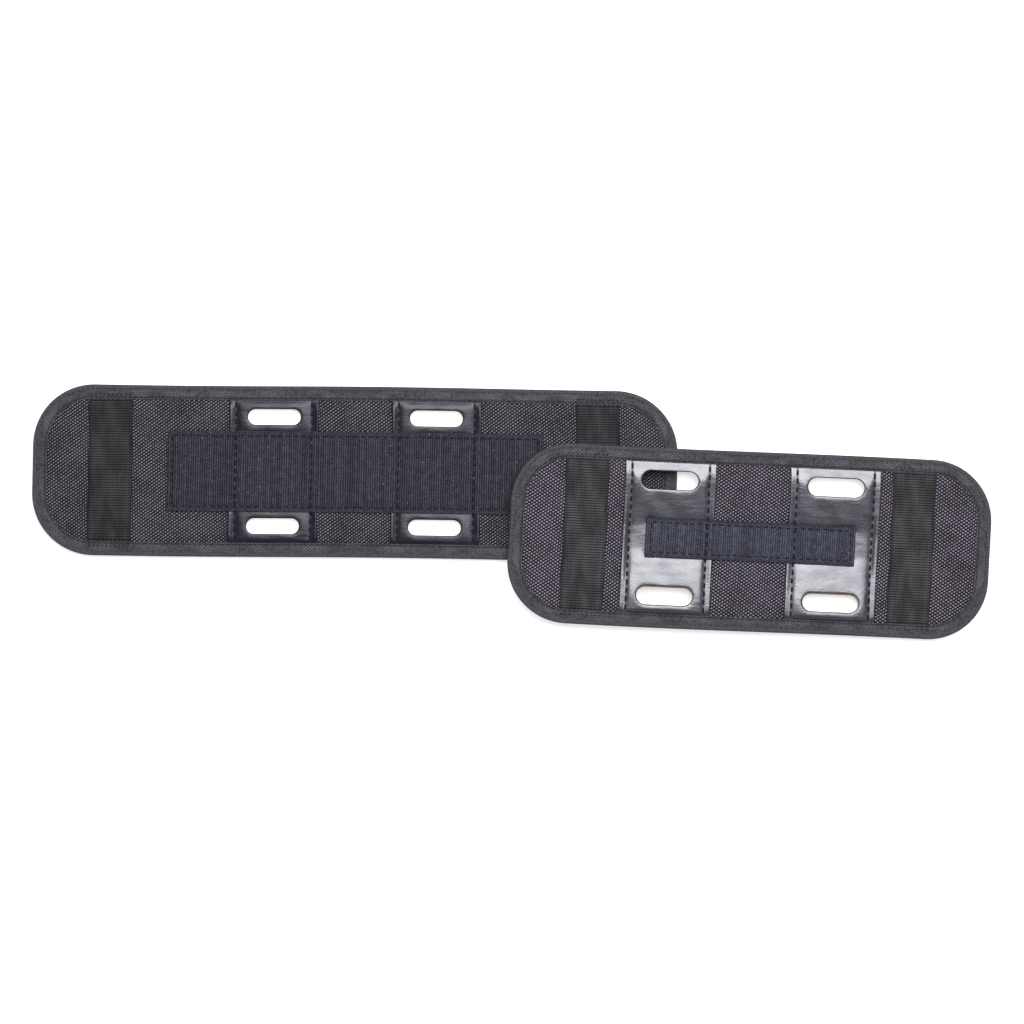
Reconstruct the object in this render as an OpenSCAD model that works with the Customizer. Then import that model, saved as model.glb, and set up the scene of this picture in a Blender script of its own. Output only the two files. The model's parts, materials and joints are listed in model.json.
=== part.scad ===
// A pair of flat sewn grip pads: a long one and a short one that lies over its right end.
// Each pad is a foam sheet between two fabrics, bound all round with tape, with two
// slotted leather patches, a hook-and-loop strip along the middle and an elastic band
// across the pad near each end.
// The origin is at the centre of the long pad's back face, on the table it rests on.
// +X runs along the long pad and +Z points up, out of the fronts.

/* [Part] */
// Which piece to draw

/* [Long pad] */
// Length over the binding
long_l = 383; // [370:1:395]
// Width over the binding
long_w = 101.6; // [98:0.1:104]
// Radius of the four corners
long_r = 37; // [32:1:40]
// Length of the hook-and-loop strip
long_strip_l = 223; // [216:1:226]
// Width of the hook-and-loop strip
long_strip_w = 48; // [44:1:50]
// Distance from the middle to the centre of each leather patch
long_patch_x = 48.3; // [46:0.1:50]
// Width of a leather patch
long_patch_w = 53; // [48:1:56]
// Distance from the middle to the centre of each slot, along the pad
long_slot_x = 48.1; // [46:0.1:50]
// Distance from the middle to the centre of each slot, across the pad
long_slot_y = 32.4; // [31.5:0.1:33]
// Length of a slot, end to end
long_slot_l = 32; // [28:0.5:34]
// Width of a slot
long_slot_w = 10.5; // [9:0.1:11]
// Distance from the middle to the centre of each elastic band
long_band_x = 144; // [142:1:146]
// Width of an elastic band
long_band_w = 26; // [24:0.5:27]
// Distance from the middle to the line where a wing bends
long_flex_x = 121; // [119:0.5:123]

/* [Short pad] */
// Length over the binding
short_l = 286; // [276:1:290]
// Width over the binding
short_w = 106.6; // [103:0.1:108]
// Radius of the four corners
short_r = 36; // [32:1:40]
// Length of the hook-and-loop strip
short_strip_l = 124.5; // [118:0.5:130]
// Width of the hook-and-loop strip
short_strip_w = 23.8; // [20:0.1:28]
// Distance from the middle to the centre of each leather patch
short_patch_x = 49; // [47:0.5:49.5]
// Width of a leather patch
short_patch_w = 54; // [50:1:54]
// Distance from the middle to the centre of each slot, along the pad
short_slot_x = 49.3; // [48:0.1:50]
// Distance from the middle to the centre of each slot, across the pad
short_slot_y = 34.2; // [32:0.1:34.5]
// Length of a slot, end to end
short_slot_l = 34; // [30:0.5:35]
// Width of a slot
short_slot_w = 11.4; // [10:0.1:12]
// Distance from the middle to the centre of each elastic band
short_band_x = 96; // [95:0.5:98]
// Width of an elastic band
short_band_w = 25.5; // [23:0.5:26]
// Distance from the middle to the line where a wing bends
short_flex_x = 79.5; // [79:0.1:80]

/* [Layers] */
// Thickness of the binding tape
tape_t = 0.6; // [0.4:0.1:0.8]
// Thickness of the tape's wall round the pad's edge
tape_wall = 1; // [0.8:0.1:1.4]
// Width of the tape on each face
tape_w = 8.5; // [7:0.5:9]
// Thickness of the back fabric
back_t = 0.6; // [0.4:0.1:0.8]
// Thickness of the foam
foam_t = 3.2; // [2.6:0.1:4]
// Thickness of the front fabric
front_t = 0.6; // [0.4:0.1:0.8]
// Thickness of the leather
leather_t = 1.2; // [0.8:0.1:1.6]
// Thickness of the hook-and-loop strip
strip_t = 1.4; // [1:0.1:1.8]
// Thickness of the elastic
band_t = 0.9; // [0.7:0.1:1.2]

/* [How the short pad lies] */
// Place of its middle along the long pad
lie_x = 234.8; // [230:0.1:240]
// Place of its middle across the long pad
lie_y = -38.1; // [-42:0.1:-36]
// How far it is turned about the vertical
lie_turn = -2; // [-3:0.1:-1]

/* [Stitching] */
// Width of a visible thread
thread_w = 0.7; // [0.5:0.1:0.9]
// Height of a visible thread above the surface
thread_t = 0.25; // [0.2:0.05:0.3]
// Distance from one stitch to the next on the leather and the binding
stitch_pitch = 5; // [4:0.1:6]
// Distance from one stitch to the next on the hook-and-loop strip
strip_pitch = 4.4; // [4:0.1:5]
// Distance from one stitch to the next in a band's tacks
tack_pitch = 2.6; // [2.2:0.1:3]

/* [Hidden] */
$fn = 96;
// Free room between a sewn-on piece and the binding beside it
trim_gap = 0.15;
// Free room between the layers and the tape's wall
wall_gap = 0.05;
// The foam and the back fabric are cut at each line where the pad bends, so that a wing can turn
crease = 2.6;
// Free height between the short pad and the binding under it
lie_gap = 0.3;
// Height of the short pad's lowest edge above the table
lie_floor = 0.1;
// The part of a stitch that shows, as a share of the pitch
stitch_share = 0.62;
// Distance from the tape's inner edge to its stitching
tape_seam = 1.2;
// Distance from a patch's side to its stitching
patch_seam = 4;
// Distance from the strip's edge to its stitching
strip_seam = 3;
// Distance from the tape's inner edge to the row of tacks on the tape
tack_out = 2.8;
// Distance from the tape's inner edge to the row of tacks on the band
tack_in = 0.8;
// How far the back fabric's slots are set back from the foam's
back_margin = 0.8;
// How much each level of a layer's slope runs along the pad
drape = 1.6;

// Heights of the layers above the table
back_z = tape_t;
foam_z = back_z + back_t;
front_z = foam_z + foam_t;
skin_z = front_z + front_t;
tape_z = skin_z + tape_t;
leather_z = skin_z + leather_t;

// The short pad's slope, from the long pad's end down to the table
lie_run = short_l / 2 + lie_x - long_l / 2;
lie_slope = asin((tape_z + lie_gap - lie_floor) / lie_run);
lie_z = lie_floor + short_l / 2 * sin(lie_slope);

// Every measure of one pad in one list, so that both pads share their modules
L = 0;
W = 1;
R = 2;
STRIP_L = 3;
STRIP_W = 4;
PATCH_X = 5;
PATCH_W = 6;
SLOT_X = 7;
SLOT_Y = 8;
SLOT_L = 9;
SLOT_W = 10;
BAND_X = 11;
BAND_W = 12;
FLEX_X = 13;
long_pad = [
    long_l, long_w, long_r, long_strip_l, long_strip_w, long_patch_x, long_patch_w,
    long_slot_x, long_slot_y, long_slot_l, long_slot_w, long_band_x, long_band_w, long_flex_x
];
short_pad = [
    short_l, short_w, short_r, short_strip_l, short_strip_w, short_patch_x, short_patch_w,
    short_slot_x, short_slot_y, short_slot_l, short_slot_w, short_band_x, short_band_w, short_flex_x
];

tape_colour = [0.10, 0.10, 0.12];
fabric_colour = [0.07, 0.07, 0.08];
foam_colour = [0.72, 0.56, 0.42];
leather_colour = [0.03, 0.03, 0.035];
strip_colour = [0.03, 0.035, 0.05];
elastic_colour = [0.06, 0.06, 0.055];
thread_colour = [0.02, 0.02, 0.02];

// A rectangle with round corners, made of plain rectangles and circles
module rounded(l, w, r) {
    square([l - 2 * r, w], center = true);
    square([l, w - 2 * r], center = true);
    for (x = [-1, 1], y = [-1, 1])
        translate([x * (l / 2 - r), y * (w / 2 - r)])
            circle(r);
}

// A pad's outline, moved in by the given distance
module outline(p, inset) {
    rounded(p[L] - 2 * inset, p[W] - 2 * inset, p[R] - inset);
}

module slab(z, t) {
    translate([0, 0, z])
        linear_extrude(t)
            children();
}

module slot(l, w) {
    square([l - w, w], center = true);
    for (x = [-1, 1])
        translate([x * (l - w) / 2, 0])
            circle(w / 2);
}

// The four slots of a pad, each wider all round by the given margin
module slots(p, margin = 0) {
    for (x = [-1, 1], y = [-1, 1])
        translate([x * p[SLOT_X], y * p[SLOT_Y]])
            slot(p[SLOT_L] + 2 * margin, p[SLOT_W] + 2 * margin);
}

// The tape folded round the edge, open on the inside
module binding(p) {
    color(tape_colour)
        difference() {
            slab(0, tape_z)
                outline(p, 0);
            slab(tape_t, skin_z - tape_t)
                outline(p, tape_wall);
            slab(-1, tape_z + 2)
                outline(p, tape_w);
        }
}

module front_fabric(p) {
    color(fabric_colour)
        slab(front_z, front_t)
            difference() {
                outline(p, tape_wall + wall_gap);
                slots(p);
            }
}

// The middle of a pad, between the two lines where it bends
module middle_area(p) {
    square([2 * p[FLEX_X] - crease, p[W]], center = true);
}

// The part of a pad beyond one of those lines: side is -1 for the left wing and 1 for the right
module wing_area(p, side) {
    wing_l = p[L] / 2 - p[FLEX_X];
    translate([side * (p[FLEX_X] + crease / 2 + wing_l / 2), 0])
        square([wing_l, p[W]], center = true);
}

// The back fabric fills the frame that the tape makes, so its middle rests on the table.
// Its upper level runs under the tape. The child is the area to keep.
module back_levels(p) {
    color(fabric_colour)
        union() {
            slab(back_z, back_t)
                intersection() {
                    outline(p, tape_wall + wall_gap);
                    children();
                }
            slab(0, back_z)
                intersection() {
                    outline(p, tape_w + trim_gap);
                    children();
                }
        }
}

module back_middle(p) {
    back_levels(p)
        difference() {
            middle_area(p);
            slots(p, back_margin);
        }
}

module back_wing(p, side) {
    back_levels(p)
        wing_area(p, side);
}

module foam_middle(p) {
    color(foam_colour)
        slab(foam_z, foam_t)
            difference() {
                intersection() {
                    outline(p, tape_wall + wall_gap);
                    middle_area(p);
                }
                slots(p);
            }
}

module foam_wing(p, side) {
    color(foam_colour)
        slab(foam_z, foam_t)
            intersection() {
                outline(p, tape_wall + wall_gap);
                wing_area(p, side);
            }
}

function patch_h(p) = p[W] - 2 * (tape_w + trim_gap);

module patch(p, side) {
    color(leather_colour)
        slab(skin_z, leather_t)
            difference() {
                translate([side * p[PATCH_X], 0])
                    square([p[PATCH_W], patch_h(p)], center = true);
                slots(p);
            }
}

// One side of a strip's long section, from the middle out, that steps up over the patch
function drape_line(p, z) =
    let (near = p[PATCH_X] - p[PATCH_W] / 2, far = p[PATCH_X] + p[PATCH_W] / 2)
    [
        [near - drape, z],
        [near - trim_gap, z + leather_t],
        if (p[STRIP_L] / 2 > far + drape) [far + trim_gap, z + leather_t],
        if (p[STRIP_L] / 2 > far + drape) [far + drape, z],
        [p[STRIP_L] / 2, p[STRIP_L] / 2 > far + drape ? z : z + leather_t],
    ];

function flip(points) = [for (i = [len(points) - 1:-1:0]) [-points[i][0], points[i][1]]];

function whole_line(p, z) = concat(flip(drape_line(p, z)), drape_line(p, z));

function backwards(points) = [for (i = [len(points) - 1:-1:0]) points[i]];

// The strip lies on the fabric and steps up over the patches
module loop_strip(p) {
    color(strip_colour)
        rotate([90, 0, 0])
            linear_extrude(p[STRIP_W], center = true)
                polygon(concat(whole_line(p, skin_z), backwards(whole_line(p, skin_z + strip_t))));
}

module band(p, side) {
    color(elastic_colour)
        slab(skin_z, band_t)
            translate([side * p[BAND_X], 0])
                square([p[BAND_W], patch_h(p)], center = true);
}

// One stitch of a row, centred on the origin and lying along X
module stitch(length) {
    translate([0, 0, thread_t / 2])
        cube([length, thread_w, thread_t], center = true);
}

// A straight row of stitches along X, centred on the origin
module row(length, pitch) {
    n = max(1, floor(length / pitch));
    for (i = [0:n - 1])
        translate([(i - (n - 1) / 2) * pitch, 0, 0])
            stitch(pitch * stitch_share);
}

// A row of stitches round a corner of radius r, over the quarter turn that starts at +X
module corner_row(r, pitch) {
    n = max(1, floor(r * PI / 2 / pitch));
    for (i = [0:n - 1])
        rotate([0, 0, 90 * (i + 0.5) / n])
            translate([r, 0, 0])
                rotate([0, 0, 90])
                    stitch(pitch * stitch_share);
}

module binding_stitches(p) {
    inset = tape_w - tape_seam;
    straight_x = p[L] - 2 * p[R];
    straight_y = p[W] - 2 * p[R];
    color(thread_colour)
        translate([0, 0, tape_z]) {
            for (y = [-1, 1])
                translate([0, y * (p[W] / 2 - inset), 0])
                    row(straight_x, stitch_pitch);
            for (x = [-1, 1])
                translate([x * (p[L] / 2 - inset), 0, 0])
                    rotate([0, 0, 90])
                        row(straight_y, stitch_pitch);
            for (x = [0, 1], y = [0, 1])
                mirror([x, 0, 0])
                    mirror([0, y, 0])
                        translate([p[L] / 2 - p[R], p[W] / 2 - p[R], 0])
                            corner_row(p[R] - inset, stitch_pitch);
        }
}

// Two rows down each patch, broken where the strip covers them
module patch_stitches(p) {
    run = (patch_h(p) - p[STRIP_W]) / 2 - 1;
    mid = (patch_h(p) + p[STRIP_W]) / 4;
    color(thread_colour)
        translate([0, 0, leather_z])
            for (x = [-1, 1], edge = [-1, 1], y = [-1, 1])
                translate([x * p[PATCH_X] + edge * (p[PATCH_W] / 2 - patch_seam), y * mid, 0])
                    rotate([0, 0, 90])
                        row(run, stitch_pitch);
}

// Height of the strip's top at a distance x from the middle
function strip_top(p, x) =
    skin_z + strip_t + (abs(abs(x) - p[PATCH_X]) < p[PATCH_W] / 2 ? leather_t : 0);

// True where a stitch of the given pitch lies clear of the strip's slopes
function on_level(p, x, pitch) =
    abs(abs(abs(x) - p[PATCH_X]) - p[PATCH_W] / 2) > pitch * stitch_share / 2 + drape;

module strip_stitches(p) {
    run_x = p[STRIP_L] - 2 * strip_seam;
    run_y = p[STRIP_W] - 2 * strip_seam;
    n = floor(run_x / strip_pitch);
    color(thread_colour) {
        for (i = [0:n - 1]) {
            x = (i - (n - 1) / 2) * strip_pitch;
            if (on_level(p, x, strip_pitch))
                for (y = [-1, 1])
                    translate([x, y * run_y / 2, strip_top(p, x)])
                        stitch(strip_pitch * stitch_share);
        }
        for (x = [-1, 1])
            translate([x * run_x / 2, 0, strip_top(p, run_x / 2)])
                rotate([0, 0, 90])
                    row(run_y - strip_pitch, strip_pitch);
    }
}

// Two rows of tacks hold each end of a band: one on the tape and one on the band
module tacks(p, side) {
    edge = p[W] / 2 - tape_w;
    color(thread_colour)
        for (y = [-1, 1])
            translate([side * p[BAND_X], 0, 0]) {
                translate([0, y * (edge + tack_out), tape_z])
                    row(p[BAND_W], tack_pitch);
                translate([0, y * (edge - tack_in), skin_z + band_t])
                    row(p[BAND_W], tack_pitch);
            }
}

// Puts the short pad where it lies: over the long pad's right end, and down to the table
module lying() {
    translate([lie_x, lie_y, lie_z])
        rotate([0, lie_slope, lie_turn])
            children();
}

binding(long_pad);  // long_binding
binding_stitches(long_pad);  // long_binding_stitches
front_fabric(long_pad);  // long_front_fabric
back_middle(long_pad);  // long_back_middle
back_wing(long_pad, -1);  // long_back_left
back_wing(long_pad, 1);  // long_back_right
foam_middle(long_pad);  // long_foam_middle
foam_wing(long_pad, -1);  // long_foam_left
foam_wing(long_pad, 1);  // long_foam_right
patch(long_pad, -1);  // long_patch_left
patch(long_pad, 1);  // long_patch_right
patch_stitches(long_pad);  // long_patch_stitches
loop_strip(long_pad);  // long_loop_strip
strip_stitches(long_pad);  // long_strip_stitches
band(long_pad, -1);  // long_band_left
band(long_pad, 1);  // long_band_right
tacks(long_pad, -1);  // long_tacks_left
tacks(long_pad, 1);  // long_tacks_right
lying() binding(short_pad);  // short_binding
lying() binding_stitches(short_pad);  // short_binding_stitches
lying() front_fabric(short_pad);  // short_front_fabric
lying() back_middle(short_pad);  // short_back_middle
lying() back_wing(short_pad, -1);  // short_back_left
lying() back_wing(short_pad, 1);  // short_back_right
lying() foam_middle(short_pad);  // short_foam_middle
lying() foam_wing(short_pad, -1);  // short_foam_left
lying() foam_wing(short_pad, 1);  // short_foam_right
lying() patch(short_pad, -1);  // short_patch_left
lying() patch(short_pad, 1);  // short_patch_right
lying() patch_stitches(short_pad);  // short_patch_stitches
lying() loop_strip(short_pad);  // short_loop_strip
lying() strip_stitches(short_pad);  // short_strip_stitches
lying() band(short_pad, -1);  // short_band_left
lying() band(short_pad, 1);  // short_band_right
lying() tacks(short_pad, -1);  // short_tacks_left
lying() tacks(short_pad, 1);  // short_tacks_right
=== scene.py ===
"""Two flat sewn grip pads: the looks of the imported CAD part.

Each pad is worked out in its own flat frame, in millimetres: x along the pad, y across it and z out of its
front. Pad.place() then puts a point where the CAD has that pad. Every layer is a height over that flat frame,
so the layers follow one another over seams, patches and tucked ends.
"""

import json
import math
import random

import bpy
import numpy as np
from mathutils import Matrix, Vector, geometry


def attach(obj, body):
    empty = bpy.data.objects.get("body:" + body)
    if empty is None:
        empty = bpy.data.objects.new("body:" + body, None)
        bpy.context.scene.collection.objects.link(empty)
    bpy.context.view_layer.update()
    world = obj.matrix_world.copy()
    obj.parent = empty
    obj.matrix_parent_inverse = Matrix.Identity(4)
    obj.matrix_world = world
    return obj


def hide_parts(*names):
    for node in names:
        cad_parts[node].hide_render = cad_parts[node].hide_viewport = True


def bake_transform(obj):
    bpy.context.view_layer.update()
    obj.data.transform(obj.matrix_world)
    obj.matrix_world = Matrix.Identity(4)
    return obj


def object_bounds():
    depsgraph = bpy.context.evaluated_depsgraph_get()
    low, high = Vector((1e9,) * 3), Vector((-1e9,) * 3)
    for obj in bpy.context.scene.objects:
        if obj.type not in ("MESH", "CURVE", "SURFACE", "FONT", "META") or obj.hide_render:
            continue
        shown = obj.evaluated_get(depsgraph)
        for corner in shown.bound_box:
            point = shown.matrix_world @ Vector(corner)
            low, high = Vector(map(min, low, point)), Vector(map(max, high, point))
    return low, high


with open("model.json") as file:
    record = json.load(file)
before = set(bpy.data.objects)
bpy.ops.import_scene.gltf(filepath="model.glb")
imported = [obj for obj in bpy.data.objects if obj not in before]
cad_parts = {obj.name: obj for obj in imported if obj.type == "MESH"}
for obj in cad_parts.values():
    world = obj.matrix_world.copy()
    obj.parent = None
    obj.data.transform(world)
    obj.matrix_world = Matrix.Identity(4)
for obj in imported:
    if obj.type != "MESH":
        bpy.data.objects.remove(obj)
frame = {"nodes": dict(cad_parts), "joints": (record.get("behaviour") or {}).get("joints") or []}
cad_low, cad_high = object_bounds()
joints = {j["name"]: j for j in frame["joints"]}
rng = random.Random(11)
MM = 0.001

# The camera looks straight down, turned a little, as the photograph is taken.
VIEW_CENTRE = (0.0938, -0.0223)
VIEW_WIDTH = 0.610
CAMERA_HEIGHT = 1.9
CAMERA_ROLL = math.radians(0.7)
camera_data = bpy.data.cameras.new("camera")
camera = bpy.data.objects.new("camera", camera_data)
bpy.context.scene.collection.objects.link(camera)
camera.location = (*VIEW_CENTRE, CAMERA_HEIGHT)
camera.rotation_euler = (0, 0, CAMERA_ROLL)
camera_data.sensor_width = 36
camera_data.lens = 36 * CAMERA_HEIGHT / VIEW_WIDTH
camera_data.clip_end = 10
bpy.context.scene.camera = camera


# ---------------------------------------------------------------- materials

class Graph:
    """A material's nodes, with short calls for the usual ones."""

    def __init__(self, name):
        self.material = bpy.data.materials.new(name)
        self.material.use_nodes = True
        self.tree = self.material.node_tree
        self.tree.nodes.clear()
        self.out = self.tree.nodes.new("ShaderNodeOutputMaterial")
        self.shader = self.tree.nodes.new("ShaderNodeBsdfPrincipled")
        self.tree.links.new(self.shader.outputs[0], self.out.inputs[0])
        split = self.node("ShaderNodeSeparateXYZ", {0: self.node("ShaderNodeUVMap").outputs[0]})
        self.u, self.v = split.outputs[0], split.outputs[1]

    def put(self, socket, value):
        if isinstance(value, bpy.types.NodeSocket):
            self.tree.links.new(value, socket)
        else:
            socket.default_value = value

    def node(self, kind, inputs=None, **props):
        n = self.tree.nodes.new(kind)
        for key, value in props.items():
            setattr(n, key, value)
        for key, value in (inputs or {}).items():
            self.put(n.inputs[key], value)
        return n

    def math(self, operation, *values, clamp=False):
        n = self.node("ShaderNodeMath", dict(enumerate(values)), operation=operation, use_clamp=clamp)
        return n.outputs[0]

    def ramp(self, value, low, high, to_low=0.0, to_high=1.0):
        """value taken smoothly from low..high to to_low..to_high."""
        n = self.node("ShaderNodeMapRange", {0: value, 1: low, 2: high, 3: to_low, 4: to_high},
                      interpolation_type="SMOOTHSTEP")
        return n.outputs[0]

    def vector(self, x, y, z=0.0):
        return self.node("ShaderNodeCombineXYZ", {0: x, 1: y, 2: z}).outputs[0]

    def uv(self, stretch_u=1.0, stretch_v=1.0):
        return self.vector(self.math("MULTIPLY", self.u, stretch_u), self.math("MULTIPLY", self.v, stretch_v))

    def noise(self, scale, detail=2.0, where=None, rough=0.5):
        n = self.node("ShaderNodeTexNoise", {"Vector": where or self.uv(), "Scale": scale, "Detail": detail,
                                             "Roughness": rough})
        return n.outputs[0]

    def mix(self, factor, a, b):
        n = self.node("ShaderNodeMix", {0: factor, 6: (*a, 1) if isinstance(a, tuple) else a,
                                        7: (*b, 1) if isinstance(b, tuple) else b}, data_type="RGBA")
        return n.outputs[2]

    def finish(self, colour, rough, height=None, depth=0.0002, strength=1.0, **fixed):
        self.put(self.shader.inputs["Base Color"], colour)
        self.put(self.shader.inputs["Roughness"], rough)
        if height is not None:
            bump = self.node("ShaderNodeBump", {"Strength": strength, "Distance": depth, "Height": height})
            self.put(self.shader.inputs["Normal"], bump.outputs[0])
        for key, value in fixed.items():
            self.shader.inputs[key.replace("_", " ")].default_value = value
        return self.material


def rows(g, coordinate, pitch, sharp=0.5):
    """Round ridges across a coordinate, one per pitch, from 0 in the grooves to 1 on the crests."""
    wave = g.math("ABSOLUTE", g.math("SINE", g.math("MULTIPLY", coordinate, math.pi / pitch)))
    return g.math("POWER", wave, sharp)


def woven_nylon(name, pitch, lean, slant, dark, light):
    """Plain weave of thick yarn. The light spots where the yarns that run along x cross over are painted
    highlights in the colour, on a dark base.

    lean turns the two sets of yarn a little off the pad's own sides, and slant draws the light spots out
    along one diagonal.
    """
    g = Graph(name)
    drift = g.ramp(g.noise(60, 1), 0, 1, -0.25, 0.25)
    leaned_u = g.math("ADD", g.u, g.math("MULTIPLY", g.v, lean[0]))
    leaned_v = g.math("ADD", g.v, g.math("MULTIPLY", g.u, lean[1]))
    across = g.math("ADD", g.math("DIVIDE", leaned_u, pitch[0]), drift)
    along = g.math("DIVIDE", leaned_v, pitch[1])
    warp_index, weft_index = g.math("ROUND", across), g.math("ROUND", along)

    def yarn(position, index):
        off = g.math("MULTIPLY", g.math("SUBTRACT", position, index), 1.96)
        return g.math("SQRT", g.math("SUBTRACT", 1.0, g.math("MULTIPLY", off, off), clamp=True))

    def over(index, position):
        turn = g.math("COSINE", g.math("MULTIPLY", index, math.pi))
        return g.math("MULTIPLY", turn, g.math("COSINE", g.math("MULTIPLY", position, math.pi)))

    warp = g.math("ADD", yarn(across, warp_index), over(warp_index, along))
    weft = g.math("SUBTRACT", yarn(along, weft_index), over(weft_index, across))
    height = g.math("MAXIMUM", warp, weft)
    fibres = g.noise(2600, 2, g.uv(0.35, 1.6))
    cell = g.node("ShaderNodeTexWhiteNoise", {"Vector": g.vector(warp_index, weft_index)},
                  noise_dimensions="2D").outputs[0]
    each_dot = g.math("MULTIPLY", g.ramp(fibres, 0.2, 0.7, 0.6, 1.2), g.ramp(cell, 0, 1, 0.7, 1.25))
    diagonal = g.math("COSINE", g.math("MULTIPLY", g.math("ADD", across, along), math.pi))
    spot = g.math("ADD", weft, g.math("MULTIPLY", diagonal, slant))
    narrow = g.ramp(g.math("COSINE", g.math("MULTIPLY", across, 2 * math.pi)), -1, 1, 0.5, 1.3)
    # Painted highlight: the crossings' light spots are colour, mixed from the dark base to a highlight colour
    # that turns a little purplish at random.
    lit = g.math("MULTIPLY", g.math("MULTIPLY", g.ramp(spot, 0.45, 1.9), narrow), each_dot)
    patchy = g.ramp(g.noise(38, 3), 0.25, 0.75, 0.62, 1.2)
    purplish = (light[0] * 1.04, light[1] * 0.93, light[2] * 0.99)
    tinted_highlight = g.mix(g.ramp(g.noise(170, 2), 0.35, 0.7), light, purplish)
    colour = g.mix(g.math("MULTIPLY", lit, patchy, clamp=True), dark, tinted_highlight)
    return g.finish(colour, g.ramp(fibres, 0.2, 0.8, 0.45, 0.65), height, 0.0003, 0.9, Sheen_Weight=0.02,
                    Sheen_Roughness=0.4, Specular_IOR_Level=0.09)


def grosgrain(name):
    """Binding tape: fine ribs across it, a smoother selvage and a painted highlight along the crown of its
    outer fold.
    """
    g = Graph(name)
    ribs = rows(g, g.u, 0.00085)
    weave = rows(g, g.v, 0.0007)
    fine = g.noise(1500, 3)
    height = g.math("ADD", g.math("MULTIPLY", ribs, 0.7),
                    g.math("ADD", g.math("MULTIPLY", weave, 0.35), g.math("MULTIPLY", fine, 0.6)))
    flecks = g.ramp(g.math("ADD", g.noise(1500, 2, g.uv(0.8, 1.0), 0.65), g.noise(520, 2)), 0.82, 1.2)
    line = g.math("ROUND", g.math("DIVIDE", g.v, 0.0010))
    dash = g.math("MULTIPLY", rows(g, g.math("ADD", g.u, g.math("MULTIPLY", line, 0.00095)), 0.0019),
                  rows(g, g.math("ADD", g.v, 0.0005), 0.0010))
    patches = g.ramp(g.noise(130, 3, g.uv(0.5, 1.0)), 0.42, 0.62, 0.12, 1.0)
    inner = g.math("MULTIPLY", g.ramp(g.v, 0.0018, 0.0036), patches)
    dashes = g.math("MULTIPLY", g.ramp(dash, 0.55, 0.95), inner)
    cloudy = g.ramp(g.noise(90, 3, g.uv(0.4, 1.0)), 0.3, 0.7, 0.5, 1.0)
    base = g.mix(g.math("MULTIPLY", flecks, cloudy), (0.012, 0.012, 0.014), (0.070, 0.068, 0.074))
    ribbed = g.mix(g.ramp(g.math("MULTIPLY", ribs, fine), 0.30, 0.62, 0.0, 0.75), base, (0.056, 0.055, 0.060))
    spotted = g.mix(dashes, ribbed, (0.140, 0.134, 0.148))
    # Painted highlight along the crown of the tape's outer fold, about 1.2 mm in from its edge.
    fold = g.ramp(g.math("ABSOLUTE", g.math("SUBTRACT", g.v, 0.0012)), 0.0003, 0.0013, 0.3, 0.0)
    seam = g.math("ABSOLUTE", g.math("SUBTRACT", g.v, 0.0074))
    highlighted_fold = g.mix(fold, spotted, (0.092, 0.091, 0.102))
    colour = g.mix(g.ramp(seam, 0.0003, 0.0012, 0.4, 0.0), highlighted_fold, (0.012, 0.012, 0.015))
    return g.finish(colour, g.ramp(fine, 0.2, 0.8, 0.62, 0.85), height, 0.00022, 0.8, Sheen_Weight=0.06,
                    Sheen_Roughness=0.45, Specular_IOR_Level=0.2)


def elastic_web(name, half_w, light):
    """Woven elastic: ribs across its length, lines of covered rubber along it, and plain selvages."""
    g = Graph(name)
    ribs = rows(g, g.v, 0.00152, 0.7)
    lines = rows(g, g.u, 0.00157, 0.8)
    fine = g.noise(1700, 2)
    height = g.math("ADD", g.math("MULTIPLY", ribs, 0.8), g.math("MULTIPLY", lines, 0.55))
    grid = g.math("MULTIPLY", g.ramp(ribs, 0.25, 0.95), g.ramp(lines, 0.1, 0.9, 0.6, 1.0))
    cloudy = g.ramp(g.noise(120, 2, g.uv(1.0, 0.4)), 0.3, 0.7, 0.5, 1.15)
    from_edge = g.math("SUBTRACT", half_w, g.math("ABSOLUTE", g.u))
    webbed = g.ramp(from_edge, 0.0010, 0.0022, 0.65, 1.0)
    streaks = g.ramp(g.noise(300, 1, g.uv(1.0, 0.25)), 0.4, 0.6)
    brown = g.mix(streaks, (0.008, 0.005, 0.005), (0.004, 0.004, 0.005))
    lit = g.math("MULTIPLY", g.math("MULTIPLY", grid, cloudy), webbed, clamp=True)
    colour = g.mix(lit, brown, (light, light * 0.97, light * 0.99))
    return g.finish(colour, g.ramp(fine, 0.2, 0.8, 0.55, 0.75), height, 0.00025, 0.8, Sheen_Weight=0.02,
                    Specular_IOR_Level=0.07)


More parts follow.
